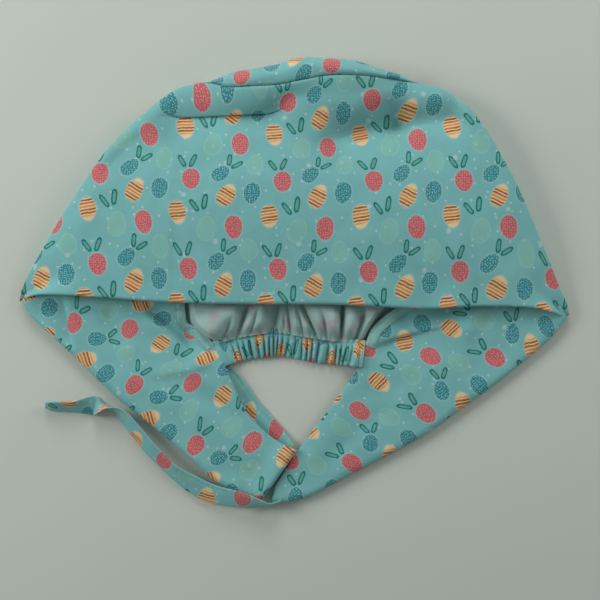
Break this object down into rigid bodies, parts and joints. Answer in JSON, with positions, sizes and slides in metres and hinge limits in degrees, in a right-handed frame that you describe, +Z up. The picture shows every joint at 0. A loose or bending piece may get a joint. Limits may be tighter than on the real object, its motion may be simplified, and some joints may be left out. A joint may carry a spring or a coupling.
{
  "type": "surgical scrub cap",
  "caption": "Tie-back surgical scrub cap of printed cotton lying flat: puffed front panel, elastic-gathered back, side bands crossing below a nape opening, and a loose tie.",
  "frame": {"origin": "centre of the lying cap's footprint, on the table it lies on", "axes": "+X along the front edge from side tip to side tip, +Y from the face opening to the top of the crown, +Z up from the table"},
  "size_m": [0.301, 0.2493, 0.0235],
  "materials": {
    "printed_cotton": "woven cotton poplin with a small all-over print on a teal ground, matt",
    "cotton_wrong_side": "wrong side of the printed poplin, paler, with the print showing through faintly, matt",
    "sewing_thread": "spun polyester thread of the overlocked seam edges and of the stitching"
  },
  "bodies": {
    "root": {"front_panel": "printed_cotton", "back_panel": "cotton_wrong_side", "elastic_casing": "printed_cotton", "left_side_band": "printed_cotton", "right_side_band": "printed_cotton", "left_facing": "printed_cotton", "right_facing": "printed_cotton", "left_tie": "printed_cotton", "right_tie": "printed_cotton"}
  },
  "joints": []
}
